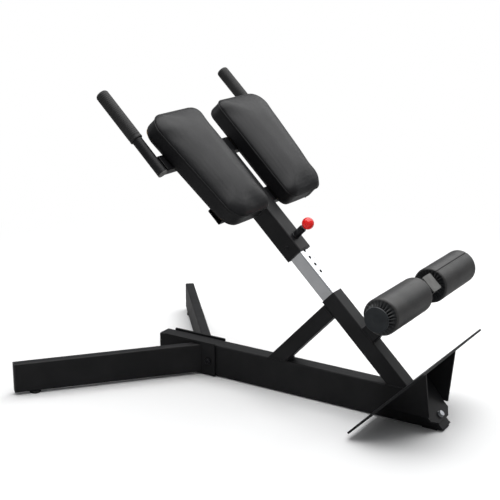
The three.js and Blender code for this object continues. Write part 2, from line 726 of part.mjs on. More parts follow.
function pads() {
  const boardTop = padBaseW + boardThickness;
  const seam = padSeamW - boardTop - GAP;
  const crown = padCrownW - padSeamW;
  // Rise above the board and inset of each outline, from the pad's underside to its crown
  const profile = [[0, 2], [3, 0], [seam, 0], [seam + crown * 0.3, 5], [seam + crown * 0.62, 15],
    [seam + crown * 0.86, 32], [seam + crown, 60]];
  const boltUnder = crossbarTopW - crossbarThickness - GAP;
  for (const [label, sign] of sides) {
    const rows = Object.keys(padBoltStations);
    const holes = rows.map((row) => rod(padBoltRadius + GAP, -60, boardTop - 2, padBoltAt(row, sign)));
    const edge = padOutline(boardInset);
    const board = stacked([{ points: edge, w: padBaseW }, { points: edge, w: boardTop }], sign);
    add(`pad_board_${label}`, cut(board, ...holes), 'plywood');
    const layers = profile.map(([rise, inset]) => ({ points: padOutline(inset), w: boardTop + GAP + rise }));
    add(`thigh_pad_${label}`, stacked(layers, sign), 'vinyl');
    for (const row of rows) {
      const shank = rod(padBoltRadius, boltUnder - 1, boardTop - 3, padBoltAt(row, sign));
      const head = hexagon(padBoltAcross, boltUnder - padBoltHeadHeight, boltUnder, padBoltAt(row, sign));
      add(`pad_bolt_${row}_${label}`, join(head, shank), 'zinc');
    }
  }
}

// ---------------------------------------------------------------- pull pin
function pullPin() {
  const at = outOfPost(pinStation);
  const base = sleeveHalf + GAP;
  const stemBore = pinRadius + 0.4;
  const housing = turned([[housingBore, base], [housingRadius, base], [housingRadius, housingTop - 1.5],
    [housingRadius - 1.5, housingTop], [stemBore, housingTop], [stemBore, housingTop - housingLid],
    [housingBore, housingTop - housingLid]], at);
  add('pin_housing', housing, 'blackSteel');

  const ballSeat = ballW - ballRadius + 2;
  const pin = turned([[0, pinTipW], [pinRadius - 1, pinTipW], [pinRadius, pinTipW + 1],
    [pinRadius, pinCollarBottom],
    [pinCollarRadius, pinCollarBottom], [pinCollarRadius, pinCollarBottom + pinCollarHeight],
    [pinRadius, pinCollarBottom + pinCollarHeight], [pinRadius, ballSeat], [stemRadius, ballSeat],
    [stemRadius, ballW], [0, ballW]], at, 20);
  add('pull_pin', pin, 'zinc');

  const ball = solid(new THREE.SphereGeometry(ballRadius, 24, 16).rotateX(Math.PI / 2)
    .applyMatrix4(outOfPost(pinStation, 0, ballW)));
  const socket = join(rod(stemRadius + GAP, ballSeat - 7, ballW + GAP, at, 20),
    rod(pinRadius + GAP, ballSeat - 7, ballSeat + GAP, at, 20));
  add('pull_ball', cut(ball, socket), 'redPlastic');
  const springLow = pinCollarBottom + pinCollarHeight + GAP + springWire;
  const springHigh = housingTop - housingLid - GAP - springWire;
  add('pin_spring', coil(springLow, springHigh, at), 'zinc');
}

// Round wire wound into a helix about z
function coil(z0, z1, matrix) {
  const steps = springTurns * 12;
  const around = 6;
  const positions = [];
  const index = [];
  for (let i = 0; i <= steps; i += 1) {
    const angle = (i / steps) * springTurns * Math.PI * 2;
    const z = z0 + (z1 - z0) * (i / steps);
    for (let k = 0; k < around; k += 1) {
      const turn = (k / around) * Math.PI * 2;
      const r = springRadius + springWire * Math.cos(turn);
      positions.push(r * Math.cos(angle), r * Math.sin(angle), z + springWire * Math.sin(turn));
    }
  }
  for (let i = 0; i < steps; i += 1) {
    for (let k = 0; k < around; k += 1) {
      const [a, b] = [i * around + k, i * around + ((k + 1) % around)];
      index.push(a, b, b + around, a, b + around, a + around);
    }
  }
  for (let k = 1; k + 1 < around; k += 1) {
    index.push(0, k + 1, k, steps * around, steps * around + k, steps * around + k + 1);
  }
  const geometry = new THREE.BufferGeometry();
  geometry.setAttribute('position', new THREE.Float32BufferAttribute(positions, 3));
  geometry.setIndex(index);
  return solid(flipIfInverted(geometry.applyMatrix4(matrix)));
}

// ---------------------------------------------------------------- assembly
// Moves the origin to the floor under the middle of the whole machine
function centreOnFloor(group) {
  const box = new THREE.Box3().setFromObject(group);
  const middle = box.getCenter(vec(0, 0, 0));
  for (const node of group.children) {
    node.geometry.translate(-middle.x, -middle.y, -box.min.z);
  }
}

floorBeam();
beamFrontCap();
rearFoot();
beamEndPlate();
for (const [label, sign] of sides) {
  legPieces(label, sign);
}
flangeBolts();
postAndStrut();
slideTube();
footPlate();
footBracket();
rollerArm();
rollers();
sleeve();
crossbars();
handles();
pads();
pullPin();
centreOnFloor(chair);

export default chair;
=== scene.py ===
import json
import math
import random

import bmesh
import bpy
from mathutils import Matrix, Vector, noise


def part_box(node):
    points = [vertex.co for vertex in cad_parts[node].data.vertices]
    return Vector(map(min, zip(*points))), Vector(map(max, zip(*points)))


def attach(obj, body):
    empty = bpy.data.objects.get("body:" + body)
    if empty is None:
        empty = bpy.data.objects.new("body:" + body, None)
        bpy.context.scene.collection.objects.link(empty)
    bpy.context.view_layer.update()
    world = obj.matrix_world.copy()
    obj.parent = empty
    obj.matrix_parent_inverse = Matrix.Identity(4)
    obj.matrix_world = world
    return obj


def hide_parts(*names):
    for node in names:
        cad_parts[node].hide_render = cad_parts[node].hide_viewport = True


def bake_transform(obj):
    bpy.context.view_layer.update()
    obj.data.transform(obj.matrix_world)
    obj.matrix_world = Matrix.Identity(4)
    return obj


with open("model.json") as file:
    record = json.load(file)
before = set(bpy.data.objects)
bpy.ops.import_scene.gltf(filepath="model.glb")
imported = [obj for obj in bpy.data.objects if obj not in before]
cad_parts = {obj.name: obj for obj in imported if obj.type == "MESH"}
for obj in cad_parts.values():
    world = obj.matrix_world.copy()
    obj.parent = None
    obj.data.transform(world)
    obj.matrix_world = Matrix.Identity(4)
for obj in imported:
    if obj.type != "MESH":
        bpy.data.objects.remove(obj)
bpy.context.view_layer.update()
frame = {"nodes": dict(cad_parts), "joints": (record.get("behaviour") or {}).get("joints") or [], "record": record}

# ------------------------------------------------------------------ the frame
MM = 0.001
JOINTS = {joint["name"]: joint for joint in frame["joints"]}
SLOT_OF = {row["node"]: row["material_slot"] for row in frame["record"]["subparts"]}
BODY_OF = {
    node: body
    for body, nodes in frame["record"]["behaviour"]["bodies"].items()
    for node in nodes
}
UP = Vector(JOINTS["carriage_slide"]["axis"]).normalized()    # up along the post
OUT = Vector(JOINTS["pin_pull"]["axis"]).normalized()         # out of the post's top face
SIDE = Vector((0.0, 1.0, 0.0))
SIDES = (("left", -1), ("right", 1))

# Places on the part in mm: stations run up the post, y across it and w out of it.
ARM_STATION = 138
AXLE_W = 239
BRACKET_BOLT_STATION = -154
SLEEVE_SCREW_STATION = 475
PIN_STATION = 489
PAD_BOLT_STATIONS = (("upper", 833), ("lower", 641))
PAD_BOLT_Y = 150
HANDLE_Y = 303.4
HANDLE_W = 8

AXLE = Vector(JOINTS["roller_left_spin"]["pos_m"])
AXLE.y = 0.0
ORIGIN = AXLE - UP * ARM_STATION * MM - OUT * AXLE_W * MM


def post(s, y, w):
    """Point at station s up the post, y across and w out of it, all in mm."""
    return ORIGIN + (UP * s + SIDE * y + OUT * w) * MM


def axes(x, y, z, origin):
    """Matrix that turns the world's axes into x, y and z, placed at origin."""
    matrix = Matrix((x, y, z)).transposed().to_4x4()
    matrix.translation = origin
    return matrix


def along_post(s, y, w):
    return axes(-SIDE, OUT, UP, post(s, y, w))


def out_of_post(s, y=0):
    return axes(-UP, SIDE, OUT, post(s, y, 0))


def sideways(sign, s, w=0):
    return axes(UP, OUT * sign, SIDE * sign, post(s, 0, w))


# ------------------------------------------------------------------ materials
class Look:
    """A material with a Principled shader and short helpers for its nodes."""

    def __init__(self, name, color, roughness, metallic=0.0, **sockets):
        self.material = bpy.data.materials.new(name)
        self.material.use_nodes = True
        self.tree = self.material.node_tree
        self.shader = self.tree.nodes["Principled BSDF"]
        self.set("Base Color", (*color, 1.0))
        self.set("Roughness", roughness)
        self.set("Metallic", metallic)
        for socket, value in sockets.items():
            self.set(socket.replace("_", " "), value)
        self.place = self.node("ShaderNodeTexCoord").outputs["Object"]

    def set(self, socket, value):
        self.shader.inputs[socket].default_value = value

    def node(self, kind, **settings):
        node = self.tree.nodes.new(kind)
        for key, value in settings.items():
            if key in node.inputs:
                node.inputs[key].default_value = value
            else:
                setattr(node, key, value)
        return node

    def link(self, out, into):
        self.tree.links.new(out, into)

    def stretched(self, scale):
        mapping = self.node("ShaderNodeMapping")
        mapping.inputs["Scale"].default_value = scale
        self.link(self.place, mapping.inputs["Vector"])
        return mapping.outputs["Vector"]

    def noise(self, scale, detail=3.0, vector=None):
        node = self.node("ShaderNodeTexNoise", Scale=scale, Detail=detail, Roughness=0.55)
        self.link(vector or self.place, node.inputs["Vector"])
        return node.outputs[0]

    def cells(self, scale):
        node = self.node("ShaderNodeTexVoronoi", feature="DISTANCE_TO_EDGE", Scale=scale)
        self.link(self.place, node.inputs["Vector"])
        return node.outputs["Distance"]

    def span(self, value, low, high, start=0.0, end=1.0):
        node = self.node("ShaderNodeMapRange")
        sockets = {"From Min": start, "From Max": end, "To Min": low, "To Max": high}
        for socket, number in sockets.items():
            node.inputs[socket].default_value = number
        self.link(value, node.inputs["Value"])
        return node.outputs[0]

    def tint(self, value, dark, light, start=0.35, end=0.65):
        ramp = self.node("ShaderNodeValToRGB")
        ramp.color_ramp.elements[0].position = start
        ramp.color_ramp.elements[1].position = end
        ramp.color_ramp.elements[0].color = (*dark, 1.0)
        ramp.color_ramp.elements[1].color = (*light, 1.0)
        self.link(value, ramp.inputs["Fac"])
        self.link(ramp.outputs["Color"], self.shader.inputs["Base Color"])

    def gloss(self, value, low, high):
        self.link(self.span(value, low, high), self.shader.inputs["Roughness"])

    def bumps(self, *layers):
        """Stacks (height, strength, distance in mm) layers of bump."""
        normal = None
        for height, strength, depth in layers:
            bump = self.node("ShaderNodeBump", Strength=strength, Distance=depth * MM)
            self.link(height, bump.inputs["Height"])
            if normal:
                self.link(normal, bump.inputs["Normal"])
            normal = bump.outputs["Normal"]
        self.link(normal, self.shader.inputs["Normal"])


def powder_coat():
    look = Look("powder_coat", (0.009, 0.009, 0.010), 0.42, Specular_IOR_Level=0.24)
    look.tint(look.noise(9.0, 4.0), (0.0075, 0.0075, 0.0085), (0.0125, 0.0125, 0.0135))
    look.gloss(look.noise(40.0, 4.0), 0.36, 0.50)
    look.bumps((look.noise(520.0, 2.0), 0.18, 0.25), (look.noise(1900.0, 1.0), 0.10, 0.08))
    return look.material


def chrome():
    look = Look("chrome", (0.80, 0.81, 0.83), 0.09, 1.0)
    streaks = look.noise(60.0, 3.0, look.stretched((1.0, 12.0, 1.0)))
    look.gloss(streaks, 0.06, 0.15)
    look.tint(look.noise(14.0, 2.0), (0.74, 0.75, 0.77), (0.84, 0.85, 0.87))
    look.bumps((look.noise(220.0, 2.0), 0.03, 0.1))
    return look.material


def zinc():
    look = Look("zinc", (0.55, 0.57, 0.60), 0.32, 1.0)
    look.tint(look.noise(300.0, 4.0), (0.46, 0.48, 0.52), (0.66, 0.67, 0.68))
    look.gloss(look.noise(120.0, 3.0), 0.22, 0.45)
    look.bumps((look.noise(900.0, 2.0), 0.12, 0.06))
    return look.material


def black_steel():
    look = Look("black_steel", (0.016, 0.016, 0.018), 0.34, 0.6)
    look.tint(look.noise(260.0, 3.0), (0.012, 0.012, 0.014), (0.024, 0.024, 0.027))
    look.gloss(look.noise(90.0, 3.0), 0.26, 0.44)
    look.bumps((look.noise(1200.0, 2.0), 0.12, 0.06))
    return look.material


def leather_grain(look, cell, depth):
    """Fine pebbled grain of upholstery vinyl with soft wrinkles under it."""
    creases = look.span(look.cells(cell), 0.0, 1.0, 0.0, 0.28)
    pores = look.noise(cell * 2.6, 2.0)
    return (creases, 0.35, depth), (pores, 0.12, depth * 0.5)


def pad_vinyl():
    look = Look("pad_vinyl", (0.007, 0.007, 0.008), 0.42, Specular_IOR_Level=0.32)
    look.tint(look.noise(6.0, 3.0), (0.0055, 0.0055, 0.0065), (0.0085, 0.0085, 0.0095))
    look.gloss(look.noise(25.0, 3.0), 0.36, 0.47)
    look.bumps((look.noise(16.0, 2.0), 0.10, 1.2), *leather_grain(look, 780.0, 0.16))
    return look.material


def roller_vinyl():
    look = Look("roller_vinyl", (0.026, 0.026, 0.026), 0.42, Specular_IOR_Level=0.5)
    look.tint(look.noise(11.0, 3.0), (0.020, 0.020, 0.0205), (0.031, 0.030, 0.029))
    look.gloss(look.noise(30.0, 3.0), 0.36, 0.48)
    look.bumps((look.noise(22.0, 2.0), 0.10, 1.0), *leather_grain(look, 800.0, 0.15))
    return look.material


# Darker copy of the vinyl: painted shade on the rollers' gathered ends, and also the own dark colour of the pads'
# band seam.
def shaded_end_and_seam_vinyl():
    look = Look("shaded_end_and_seam_vinyl", (0.007, 0.008, 0.009), 0.34, Specular_IOR_Level=0.45)
    look.tint(look.noise(30.0, 3.0), (0.005, 0.006, 0.007), (0.011, 0.012, 0.013))
    look.gloss(look.noise(60.0, 3.0), 0.26, 0.42)
    look.bumps((look.noise(110.0, 3.0), 0.25, 0.8), *leather_grain(look, 800.0, 0.12))
    return look.material


def rubber(name, shade, roughness):
    look = Look(name, (shade, shade, shade * 1.05), roughness, Specular_IOR_Level=0.35)
    look.tint(look.noise(30.0, 3.0), (shade * 0.8,) * 3, (shade * 1.25,) * 3)
    look.gloss(look.noise(160.0, 3.0), roughness - 0.06, roughness + 0.08)
    look.bumps((look.noise(1500.0, 2.0), 0.25, 0.12), (look.noise(60.0, 2.0), 0.06, 0.4))
    return look.material


def moulded_plastic(name, color, roughness):
    look = Look(name, color, roughness, Specular_IOR_Level=0.4)
    dark = tuple(c * 0.85 for c in color)
    light = tuple(min(1.0, c * 1.15) for c in color)
    look.tint(look.noise(45.0, 2.0), dark, light)
    look.gloss(look.noise(200.0, 3.0), roughness - 0.05, roughness + 0.07)
    look.bumps((look.cells(1400.0), 0.10, 0.08))
    return look.material


def red_knob():
    look = Look("red_knob", (0.86, 0.008, 0.008), 0.20, Coat_Weight=0.5, Coat_Roughness=0.08)
    look.tint(look.noise(40.0, 2.0), (0.80, 0.006, 0.006), (0.92, 0.012, 0.010))
    look.gloss(look.noise(120.0, 2.0), 0.16, 0.27)
    look.bumps((look.noise(500.0, 2.0), 0.04, 0.1))
    return look.material


def plywood():
    look = Look("plywood", (0.42, 0.27, 0.14), 0.72)
    rings = look.noise(18.0, 5.0, look.stretched((1.0, 9.0, 1.0)))
    look.tint(rings, (0.30, 0.18, 0.09), (0.52, 0.36, 0.20), 0.3, 0.7)
    look.gloss(rings, 0.62, 0.84)
    fibres = look.noise(200.0, 4.0, look.stretched((1.0, 14.0, 1.0)))
    look.bumps((fibres, 0.3, 0.3))
    return look.material


POWDER = powder_coat()
CHROME = chrome()
ZINC = zinc()
BLACK_STEEL = black_steel()
PAD_VINYL = pad_vinyl()
SHADED_END_AND_SEAM_VINYL = shaded_end_and_seam_vinyl()
ROLLER_VINYL = roller_vinyl()
GRIP_RUBBER = rubber("grip_rubber", 0.014, 0.50)
FOOT_RUBBER = rubber("foot_rubber", 0.010, 0.72)
BLACK_PLASTIC = moulded_plastic("black_plastic", (0.012, 0.012, 0.014), 0.48)
DISC_PLASTIC = moulded_plastic("disc_plastic", (0.014, 0.017, 0.020), 0.40)
GREY_PLASTIC = moulded_plastic("grey_plastic", (0.115, 0.115, 0.110), 0.50)
RED = red_knob()
PLYWOOD = plywood()

SLOT_LOOKS = {
    "black_powder_coat": POWDER,
    "black_plastic": BLACK_PLASTIC,
    "black_rubber": FOOT_RUBBER,
    "black_steel": BLACK_STEEL,
    "chrome_plate": CHROME,
    "zinc_steel": ZINC,
    "grey_plastic": GREY_PLASTIC,
    "plywood": PLYWOOD,
    "black_vinyl": PAD_VINYL,
    "red_plastic": RED,
}


# ------------------------------------------------------------------ piece helpers
EDGE_ROUNDING = 0.5      # on CAD pieces, in mm
STRAND_SIDES = 8         # sides of a weld bead, a seam or the spring's wire


def add_piece(name, bm, look, body, nodes=(), angle=40.0):
    """Makes a visible piece of bm, sharp where faces meet at more than angle degrees."""
    bmesh.ops.recalc_face_normals(bm, faces=bm.faces)
    mesh = bpy.data.meshes.new(name)
    bm.to_mesh(mesh)
    bm.free()
    for polygon in mesh.polygons:
        polygon.use_smooth = True
    mesh.set_sharp_from_angle(angle=math.radians(angle))
    mesh.materials.append(look)
    piece = bpy.data.objects.new(name, mesh)
    bpy.context.scene.collection.objects.link(piece)
    if body:
        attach(piece, body)
    if nodes:
        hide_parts(*nodes)
    return piece


def detail(node, bm, look, angle=40.0):
    """Stands in for one CAD piece, on the same body."""
    return add_piece(f"{node}_detail", bm, look, BODY_OF[node], (node,), angle)


def refine(node):
    """Smooth copy of a CAD piece with rounded edges, in its place."""
    bm = bmesh.new()
    bm.from_mesh(frame["nodes"][node].data)
    bmesh.ops.remove_doubles(bm, verts=bm.verts, dist=1e-6)
    bmesh.ops.dissolve_limit(bm, angle_limit=math.radians(1.0), verts=bm.verts, edges=bm.edges)
    piece = detail(node, bm, SLOT_LOOKS[SLOT_OF[node]])
    rounding = piece.modifiers.new("edge", "BEVEL")
    rounding.width = EDGE_ROUNDING * MM
    rounding.segments = 2
    rounding.limit_method = "ANGLE"
    rounding.angle_limit = math.radians(40.0)
    rounding.use_clamp_overlap = False
    weights = piece.modifiers.new("weights", "WEIGHTED_NORMAL")
    weights.keep_sharp = True


def round_angles(count):
    return [2 * math.pi * i / count for i in range(count)]


def polar(radius, angle, z):
    """Point at a radius, an angle about z and a height, given in mm, as a vector in metres."""
    return Vector((radius * math.cos(angle), radius * math.sin(angle), z)) * MM


def ring_faces(bm, rings, closed=True):
    """Quads between successive rings of vertices."""
    count = len(rings[0])
    pairs = list(zip(rings, rings[1:]))
    if closed:
        pairs.append((rings[-1], rings[0]))
    for lower, upper in pairs:
        for i in range(count):
            j = (i + 1) % count
            corners = [lower[i], lower[j], upper[j], upper[i]]
            unique = list(dict.fromkeys(corners))
            if len(unique) > 2:
                bm.faces.new(unique)


def capped_rings(bm, rings):
    """Skin over open rings, with a face at both ends."""
    ring_faces(bm, rings, closed=False)
    bm.faces.new(rings[0])
    bm.faces.new(rings[-1])


def revolve(bm, profile, matrix, segments=72):
    """Turns (radius, z) points in mm about z; radius 0 makes a pole."""
    rings = []
    for radius, z in profile:
        if radius <= 1e-6:
            pole = bm.verts.new(matrix @ polar(0.0, 0.0, z))
            rings.append([pole] * segments)
            continue
        rings.append([
            bm.verts.new(matrix @ polar(radius, angle, z)) for angle in round_angles(segments)
        ])
    ring_faces(bm, rings)


def turned(node, profile, matrix, look, segments=72, angle=35.0):
    bm = bmesh.new()
    revolve(bm, profile, matrix, segments)
    detail(node, bm, look, angle)


def quarter_round(r0, z0, r1, z1, steps=4):
    """Points of a quarter round from (r0, z0) to (r1, z1)."""
    points = []
    for i in range(steps + 1):
        t = math.pi / 2 * i / steps
        points.append((r0 + (r1 - r0) * math.sin(t), z0 + (z1 - z0) * (1 - math.cos(t))))
    return points


def hexagon(bm, across, z0, z1, matrix):
    """Hexagonal prism with its corners turned off at both ends."""
    corner = across / math.sqrt(3)
    flat = across / 2
    levels = ((z0, flat * 0.98), (z0 + 0.72, corner), (z1 - 1.2, corner), (z1, flat * 0.95))
    rings = []
    for z, reach in levels:
        ring = []
        for angle in round_angles(36):
            to_flat = flat / math.cos((angle + math.pi / 6) % (math.pi / 3) - math.pi / 6)
            ring.append(bm.verts.new(matrix @ polar(min(to_flat, reach), angle, z)))
        rings.append(ring)
    capped_rings(bm, rings)


def strand_ring(bm, point, tangent, across, radius):
    """Ring of vertices round a strand, radius in metres."""
    other = tangent.cross(across)
    return [
        bm.verts.new(point + (across * math.cos(angle) + other * math.sin(angle)) * radius)
        for angle in round_angles(STRAND_SIDES)
    ]


def rope(bm, points, radius, facing=OUT):
    """Closed round strand through points, radius in mm."""
    count = len(points)
    rings = []
    for k, point in enumerate(points):
        tangent = (points[(k + 1) % count] - points[k - 1]).normalized()
        across = (facing - tangent * tangent.dot(facing)).normalized()
        rings.append(strand_ring(bm, point, tangent, across, radius * MM))
    ring_faces(bm, rings)


# ------------------------------------------------------------------ welds
def stepped(points, closed, step=1.6):
    """Points about every step mm along a path."""
    path = []
    count = len(points)
    for k in range(count if closed else count - 1):
        a, b = points[k], points[(k + 1) % count]
        steps = max(2, int((b - a).length / (step * MM)))
        path += [a.lerp(b, i / steps) for i in range(steps)]
    if not closed:
        path.append(points[-1])
    return path


def started_near(ring, vertex):
    """The same ring, beginning at its vertex nearest to the given one."""
    start = min(range(len(ring)), key=lambda i: (ring[i].co - vertex.co).length)
    return ring[start:] + ring[:start]


def untwisted(rings):
    """Lines each ring up with the one before, in start and in direction."""
    aligned = [rings[0]]
    for ring in rings[1:]:
        before = aligned[-1]
        ring = started_near(ring, before[0])
        if (ring[2].co - before[2].co).length > (ring[-2].co - before[2].co).length:
            ring = [ring[0]] + ring[:0:-1]
        aligned.append(ring)
    return aligned


def weld(name, points, radius, body, closed=False):
    """Rippled weld bead along a path of points."""
    rng = random.Random(name)
    path = stepped(points, closed)
    last = len(path) - 1
    bm = bmesh.new()
    rings = []
    for k, point in enumerate(path):
        before = path[k - 1] if closed or k else path[0]
        after = path[(k + 1) % len(path)] if closed or k < last else path[-1]
        tangent = (after - before).normalized()
        swell = radius * MM * (0.86 + 0.10 * math.cos(k * 1.9) + rng.uniform(-0.04, 0.04))
        if not closed and k in (0, last):
            swell *= 0.35
        rings.append(strand_ring(bm, point, tangent, tangent.orthogonal().normalized(), swell))
    rings = untwisted(rings)
    if closed:
        ring_faces(bm, rings, closed=False)
        ring_faces(bm, [started_near(rings[-1], rings[0][0]), rings[0]], closed=False)
    else:
        capped_rings(bm, rings)
    add_piece(name, bm, POWDER, body, angle=80.0)


def on_post(w, height):
    """Point at the given height on the post's middle line, w out of it."""
    foot = post(0, 0, w)
    return foot + UP * ((height - foot.z) / UP.z)


def welds():
    """Beads where tubes and plates meet."""
    beam_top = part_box("floor_beam")[1][2]
    half = 25.6 * MM
    front = on_post(-25, beam_top + 1.0 * MM).x
    rear = on_post(25, beam_top + 1.0 * MM).x - 3 * MM
    corners = ((rear, -half), (front, -half), (front, half), (rear, half))
    weld("weld_post_foot", [Vector((x, y, beam_top)) for x, y in corners], 2.2, "base")

    strut_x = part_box("strut_tube")[0][0]
    front = strut_x - 0.4 * MM
    rear = strut_x + 62.6 * MM
    corners = ((front, -half), (front, half), (rear, half), (rear, -half))
    weld("weld_strut_foot", [Vector((x, y, beam_top)) for x, y in corners], 2.2, "base", True)

    corners = ((-25.5, -25), (25.5, -25), (25.5, 25), (-25.5, 25))
    arm = [post(ARM_STATION + s, y, 25.6) for s, y in corners]
    weld("weld_arm_foot", arm, 2.2, "base", True)

    for label, sign in SIDES:
        for name, start, end, y, w, body in (
            ("strut_top", 282, 238, 25.4, -25.6, "base"),
            ("sleeve", 616, 666, 30.4, 20.2, "carriage"),
            ("handle", 809, 857, 288.4, 20.0, "carriage"),
            ("handle_under", 809, 857, 288.4, -4.0, "carriage"),
        ):
            weld(f"weld_{name}_{label}", [post(start, sign * y, w), post(end, sign * y, w)], 2.0, body)


# ------------------------------------------------------------------ steel frame
BOX_PIECES = [
    "floor_beam", "beam_end_plate", "post_tube", "strut_tube", "roller_arm", "foot_plate",
    "foot_bracket_base", "sleeve_tube", "upper_crossbar", "beam_front_cap", "roller_arm_cap",
    "sleeve_bush_lower", "sleeve_bush_upper", "slide_tube", "rear_foot",
]
PAIRED_PIECES = ["leg_tube", "leg_flange", "leg_end_cap", "foot_bracket_wing", "lower_crossbar"]


def shaded_inside(piece):
    """Gives the slide tube's inner walls, and those of its holes, near-black steel as painted shade in its bore
    and holes.
    """
    bore = 20.6
    wall_low, wall_high = 19.0, 22.4
    hole_reach = 6.0
    piece.data.materials.append(BLACK_STEEL)
    for polygon in piece.data.polygons:
        local = polygon.center - ORIGIN
        across = abs(local.y) / MM
        height = local.dot(OUT) / MM
        in_bore = across < bore and abs(height) < bore
        in_hole = across < hole_reach and wall_low < height < wall_high
        if in_bore or in_hole:
            polygon.material_index = 1


def steel_frame():
    for node in BOX_PIECES:
        refine(node)
    shaded_inside(bpy.data.objects["slide_tube_detail"])
    for node in PAIRED_PIECES:
        for label, _ in SIDES:
            refine(f"{node}_{label}")


# ------------------------------------------------------------------ bolts, screws and feet
def flange_bolts():
    """Round-headed socket bolts across the beam, with a nut on the far side."""
    socket, shank, head = 4.4, 6, 9.5
    for label in ("front", "rear"):
        low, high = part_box(f"flange_bolt_{label}")
        middle = (Vector(low) + Vector(high)) / 2
        top = low[1] / MM
        flange = -top - 7.0
        at = axes(Vector((0, 0, 1)), Vector((1, 0, 0)), SIDE, Vector((middle.x, 0, middle.z)))
        profile = [(0, top + 3.2), (socket, top + 3.2), (socket, top + 0.3), (socket + 0.5, top)]
        profile += quarter_round(7.2, top, head, top + 2.6)
        profile += [(head, -flange), (shank, -flange), (shank, flange + 15)]
        profile += [(shank - 1, flange + 16), (0, flange + 16)]
        turned(f"flange_bolt_{label}", profile, at, BLACK_STEEL, 72, 30.0)
        bm = bmesh.new()
        hexagon(bm, 19, flange, flange + 11, at)
        detail(f"flange_nut_{label}", bm, BLACK_STEEL, 30.0)


def bracket_bolt():
    """Bolt and washer that hold the foot bracket on the post."""
    seat = 25 + 6 + 0.3 + 6 + 0.3
    at = out_of_post(BRACKET_BOLT_STATION)
    bm = bmesh.new()
    hexagon(bm, 17, seat + 2.3, seat + 8.7, at)
    revolve(bm, [(0, 8), (5, 8), (5, seat + 3), (0, seat + 3)], at, 36)
    detail("foot_bracket_bolt", bm, ZINC, 30.0)
    washer = [(5.2, seat), (9.6, seat), (10, seat + 0.4)]
    washer += [(10, seat + 1.6), (9.6, seat + 2), (5.2, seat + 2)]
    turned("foot_bracket_washer", washer, at, ZINC)


def pad_bolts():
    """Bolts up through the crossbars into the pad boards."""
    under = 20.5 - 25 - 0.3
    shank = [(0, under - 1), (4, under - 1), (4, 29.8), (0, 29.8)]
    for row, station in PAD_BOLT_STATIONS:
        for label, sign in SIDES:
            at = out_of_post(station, sign * PAD_BOLT_Y)
            bm = bmesh.new()
            hexagon(bm, 13, under - 5.3, under, at)
            revolve(bm, shank, at, 36)
            detail(f"pad_bolt_{row}_{label}", bm, ZINC, 30.0)


def sleeve_screw():
    profile = [(0, 31.4), (1.6, 31.2), (2.0, 32.2)]
    profile += quarter_round(2.2, 32.5, 5.5, 30.3)
    profile += [(3, 30.3), (3, 25), (0, 25)]
    turned("sleeve_screw", profile, sideways(-1, SLEEVE_SCREW_STATION), BLACK_STEEL, 40)


def leg_feet():
    profile = [(0, 0), (14.5, 0), (16.2, 0.5), (17, 1.6), (17, 3.0), (16.4, 3.4), (16.4, 3.9)]
    profile += [(17, 4.3), (16.2, 7.2), (15.6, 7.7), (5, 7.7), (5, 14.5), (0, 14.5)]
    for label, _ in SIDES:
        low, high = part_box(f"leg_foot_{label}")
        middle = (Vector(low) + Vector(high)) / 2
        at = Matrix.Translation((middle.x, middle.y, 0.0))
        turned(f"leg_foot_{label}", profile, at, FOOT_RUBBER, 56)


# ------------------------------------------------------------------ handles and pull pin
def grip_profile():
    """Rubber sleeve with a collar, ribs and a rounded end."""
    bore, end = 15.3, 1088.3
    profile = [(bore, 928), (17.4, 928), (18.4, 928.6), (18.9, 930)]
    profile += [(18.9, 933), (18.4, 934.2), (18.3, 936)]
    for k in range(27):
        z = 940 + k * 5.4
        profile += [(18.25, z), (18.7, z + 1.2), (18.7, z + 4.0), (18.25, z + 5.2)]
    profile += [(18.5, 1087), (18.5, 1090)]
    for degrees in range(15, 91, 15):
        angle = math.radians(degrees)
        profile.append((18.5 - 9 + 9 * math.cos(angle), 1088.5 + 8.5 * math.sin(angle)))
    return profile + [(0, 1097), (0, end), (bore, end)]


def handles():
    tube = [(13, 809.3), (14.6, 809.3), (15, 809.7), (15, 1087.6), (14.6, 1088), (13, 1088)]
    plug = [(0, 806.4), (9, 806.3), (12.4, 806), (14.2, 806.6), (15, 807.6)]
    plug += [(15, 809), (12.7, 809), (12.7, 822), (0, 822)]
    for label, sign in SIDES:
        at = along_post(0, sign * HANDLE_Y, HANDLE_W)
        turned(f"handle_tube_{label}", tube, at, POWDER)
        turned(f"handle_plug_{label}", plug, at, GREY_PLASTIC)
        turned(f"handle_grip_{label}", grip_profile(), at, GRIP_RUBBER, 72, 30.0)


def pull_pin():
    at = out_of_post(PIN_STATION)
    housing = [(8.5, 30.3), (12.5, 30.3), (12.5, 32.6), (11.6, 33.4), (11, 34.4), (11, 50)]
    housing += [(10.4, 50.6), (10.4, 52.6), (11, 53.2), (11, 63.4), (10, 65.6), (9, 66)]
    housing += [(5, 66), (5, 62), (8.5, 62)]
    turned("pin_housing", housing, at, BLACK_STEEL, 56, 30.0)

    pin = [(0, 16), (3.4, 16), (4.6, 17.4), (4.6, 31), (8, 31), (8, 35), (4.6, 35)]
    pin += [(4.6, 71.3), (3, 71.3), (3, 86.8), (0, 86.8)]
    turned("pull_pin", pin, at, ZINC, 48, 30.0)

    radius, centre = 17.5, 86.8
    ball = [(0, 69.6), (3.2, 69.7), (4.9, 70.2)]
    for degrees in range(-64, 84, 7):
        angle = math.radians(degrees)
        ball.append((radius * math.cos(angle), centre + radius * math.sin(angle)))
    ball.append((0, centre + radius))
    turned("pull_ball", ball, at, RED, 72, 50.0)


